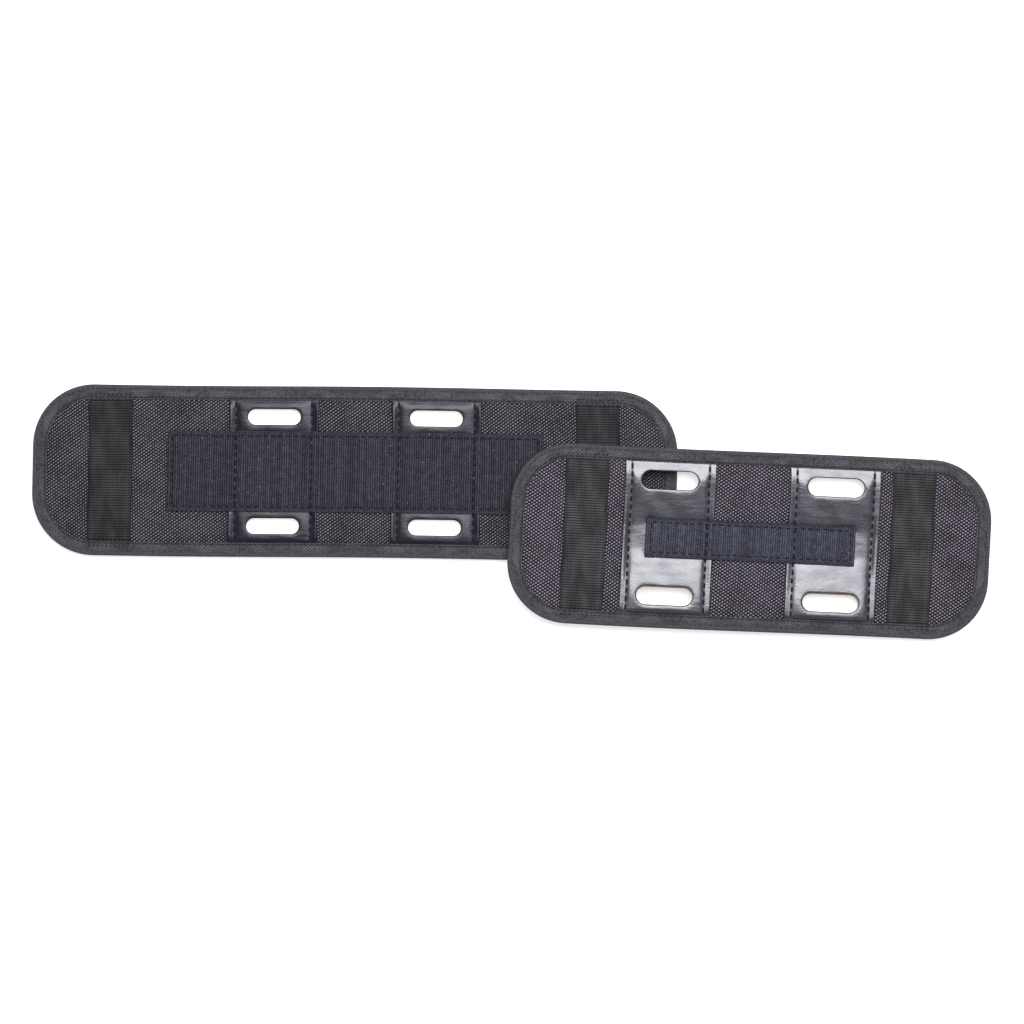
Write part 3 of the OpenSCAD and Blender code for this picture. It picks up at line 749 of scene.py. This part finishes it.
def build(pad):
    name = pad.name
    length, width, radius = pad.length, pad.width, pad.radius
    edge = TAPE_WALL + 0.1
    body = f"{name}_pad"
    reach = 9.5 if name == "long" else 3.3

    def bend(obj, side):
        """Bakes the piece's placement into its mesh; the ends of the flex line on its side are worked out but
        not used.
        """
        near, far = ((side * (pad.flex - reach), 0, MID), (side * (pad.flex + reach), 0, MID))
        start, end = pad.place([near, far])
        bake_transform(obj)

    halves = [f"{name}_{{}}_left", f"{name}_{{}}_right"]
    leather_material = glossy_leather(f"leather_{name}", 0.3 if name == "long" else 1.0, pad.patch_x * MM,
                                      (pad.patch_w / 2 - SEAM) * MM)
    elastic_material = elastic_web(f"elastic_{name}", pad.band_w / 2 * MM, 0.051 if name == "long" else 0.070)
    full = (length - 2 * edge, width - 2 * edge)
    # The foam's slots on the -y side are moved outwards, so that its tan edge shows on their inner side.
    shifted = [(x, y - pad.foam_shift, sl, sw) if y < 0 else (x, y, sl + 0.9, sw + 0.9)
               for x, y, sl, sw in pad.slots]
    wider = [(x, y - pad.foam_shift / 2, sl + 1.6, sw + 1.6) for x, y, sl, sw in pad.slots]

    foam = sheet([h.format("core") for h in halves], pad, (0, 0), full, radius - edge, shifted,
                 lambda x, y: pad.front(x, y) - 0.65, lambda x, y: pad.base(x, y) + FOAM_LOW, 3.0, 0.0,
                 foam_material, rings=(0.0,))
    for (obj, _), side in zip(foam, (-1, 1), strict=True):
        word = "left" if side < 0 else "right"
        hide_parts(f"{name}_foam_middle", f"{name}_foam_{word}")
        bend(obj, side)

    def hem(x, y):
        """The layers thin out where the tape grips them."""
        return 0.5 * (1 - smooth(pad.depth(x, y), TAPE_W - 1.5, TAPE_W + 0.5))

    front = sheet([h.format("front_fabric") for h in halves], pad, (0, 0), full, radius - edge, pad.slots,
                  lambda x, y: pad.front(x, y) - hem(x, y), lambda x, y: pad.front(x, y) - 0.6 - hem(x, y),
                  2.0, 0.35, weave[name], rings=(0.0, 0.25, 0.7))
    back = sheet([h.format("back_fabric") for h in halves], pad, (0, 0), full, radius - edge, wider,
                 lambda x, y: pad.base(x, y) + FOAM_LOW, lambda x, y: pad.base(x, y) + 0.1 + 1.4 * hem(x, y),
                 2.5, 0.35, back_weave, rings=(0.0, 0.25, 0.7))
    for k, side in enumerate((-1, 1)):
        word = "left" if side < 0 else "right"
        obj, area = front[k]
        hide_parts(f"{name}_front_fabric")
        bend(obj, side)
        obj, area = back[k]
        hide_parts(f"{name}_back_middle", f"{name}_back_{word}")
        bend(obj, side)

        tape = binding_half(f"{name}_binding_{word}", pad, side, tape_material)
        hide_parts(f"{name}_binding")
        run = float(np.hypot(*np.diff(half_path(pad, 5, side), axis=0).T).sum())
        bend(tape, side)

        seam = along_path(half_path(pad, TAPE_W - 1.1, side), 3.3)
        sewn = stitches(f"{name}_binding_stitches_{word}", pad, seam, pad.tape, tape_thread, 0.6, 0.10)
        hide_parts(f"{name}_binding_stitches")
        bend(sewn, side)

        # the patch, under the tape at both ends
        cx = side * pad.patch_x
        tall = width - 2 * (TAPE_W - TUCK)
        shrink = 1.3 if name == "long" else 0.7
        mine = [(x, y, sl - 0.7, sw - shrink) for x, y, sl, sw in pad.slots if x * side > 0]
        (obj, area), = sheet([f"{name}_leather_{word}"], pad, (cx, 0), (pad.patch_w, tall), 0.8, mine,
                             pad.leather, lambda x, y: pad.front(x, y) + 0.02, 1.1, 0.65, leather_material,
                             rings=(0.0, 0.12, 0.35, 0.8))
        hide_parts(f"{name}_patch_{word}")
        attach(obj, body)

        # the elastic band, as two halves that meet in the middle
        bx = pad.band_x[side]
        tall = width / 2 - (TAPE_W - TUCK)
        for sy, half in ((-1, "near"), (1, "far")):
            (obj, _), = sheet([f"{name}_band_{word}_{half}"], pad, (bx, sy * tall / 2), (pad.band_w, tall),
                              0.5, [], pad.band, lambda x, y: pad.band(x, y) - BAND * 0.9, 1.5, 0.5,
                              elastic_material, rings=(0.0, 0.15, 0.5), uv_x=bx)
            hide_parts(f"{name}_band_{word}")
            start, end = pad.place([(bx, sy * (pad.inner - 2.5), SKIN), (bx, 0, SKIN)])
            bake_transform(obj)

        tacks = []
        for sy in (-1, 1):
            x0, x1 = bx - pad.band_w / 2 + 0.3, bx + pad.band_w / 2 - 0.3
            tacks += row(x0, sy * (pad.inner + TACK_OUT), x1, sy * (pad.inner + TACK_OUT), 2.6, 0.62)
            tacks += row(x0, sy * (pad.inner - TACK_IN), x1, sy * (pad.inner - TACK_IN), 2.6, 0.62)
        sewn = stitches(f"{name}_tacks_{word}", pad, tacks,
                        lambda x, y: np.where(np.abs(y) > pad.inner, pad.tape(x, y), pad.band(x, y)),
                        thread_material)
        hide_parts(f"{name}_tacks_{word}")
        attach(sewn, f"{name}_{word}_wing")

    pile_looks = (0.088, 1.2, 0.05) if name == "long" else (0.115, 1.32, 0.3)
    strip_material = loop_pile(f"loop_{name}", pad.strip_w / 2 * MM, *pile_looks)
    (obj, area), = sheet([f"{name}_pile_strip"], pad, (0, 0), (pad.strip_l, pad.strip_w), 0.6, [], pad.strip,
                         lambda x, y: pad.under_strip(x, y) + 0.05, 1.5, 0.5, strip_material,
                         rings=(0.0, 0.2, 0.55))
    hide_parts(f"{name}_loop_strip")
    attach(obj, body)

    fx, fy = pad.strip_l / 2 - STRIP_SEAM, pad.strip_w / 2 - STRIP_SEAM
    seam = []
    for s in (-1, 1):
        seam += row(-fx, s * fy, fx, s * fy, 4.4)
        seam += row(s * fx, -fy, s * fx, fy, 4.4)
    sewn = stitches(f"{name}_strip_stitches", pad, seam, pad.strip, thread_material, 0.8)
    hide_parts(f"{name}_strip_stitches")
    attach(sewn, body)

    seam = []
    for sx in (-1, 1):
        for s in (-1, 1):
            x = sx * pad.patch_x + s * (pad.patch_w / 2 - SEAM)
            seam += row(x, -pad.inner + 0.5, x, pad.inner - 0.5, 5.0, 0.76)

    def over(x, y):
        on_strip = (np.abs(x) < pad.strip_l / 2) & (np.abs(y) < pad.strip_w / 2)
        return np.where(on_strip, pad.strip(x, y) - 0.15, pad.leather(x, y))

    sewn = stitches(f"{name}_patch_stitches", pad, seam, over, thread_material, 1.3, 0.30)
    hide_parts(f"{name}_patch_stitches")
    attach(sewn, body)


for each in pads:
    build(each)


# ---------------------------------------------------------------- floor and light

floor_mesh = bpy.data.meshes.new("floor")
FLOOR = 6.0         # metres from the middle to each side
floor_corners = [(x * FLOOR, y * FLOOR, 0) for x, y in ((-1, -1), (1, -1), (1, 1), (-1, 1))]
floor_mesh.from_pydata(floor_corners, [], [(0, 1, 2, 3)])
floor_mesh.materials.append(pale_floor("floor"))
floor = bpy.data.objects.new("floor", floor_mesh)
floor.location.z = cad_low.z
bpy.context.scene.collection.objects.link(floor)


def softbox(name, position, target, size, power):
    data = bpy.data.lights.new(name, "AREA")
    data.shape = "RECTANGLE"
    data.size, data.size_y = size
    data.energy = power
    data.color = (0.94, 0.95, 1.0)
    lamp = bpy.data.objects.new(name, data)
    lamp.location = position
    lamp.rotation_euler = (Vector(target) - Vector(position)).to_track_quat("-Z", "Y").to_euler()
    lamp.visible_camera = False
    bpy.context.scene.collection.objects.link(lamp)


# The key hangs over the far side, so what tilts that way shines and what tilts this way stays dark.
softbox("key", (0.26, 0.44, 1.2), (0.2, -0.05, 0.0), (1.0, 0.88), 22)

world = bpy.data.worlds.new("studio")
bpy.context.scene.world = world
world.use_nodes = True
world.node_tree.nodes["Background"].inputs[0].default_value = (0.93, 0.95, 1.0, 1)
world.node_tree.nodes["Background"].inputs[1].default_value = 0.50
bpy.context.scene.view_settings.view_transform = "Standard"
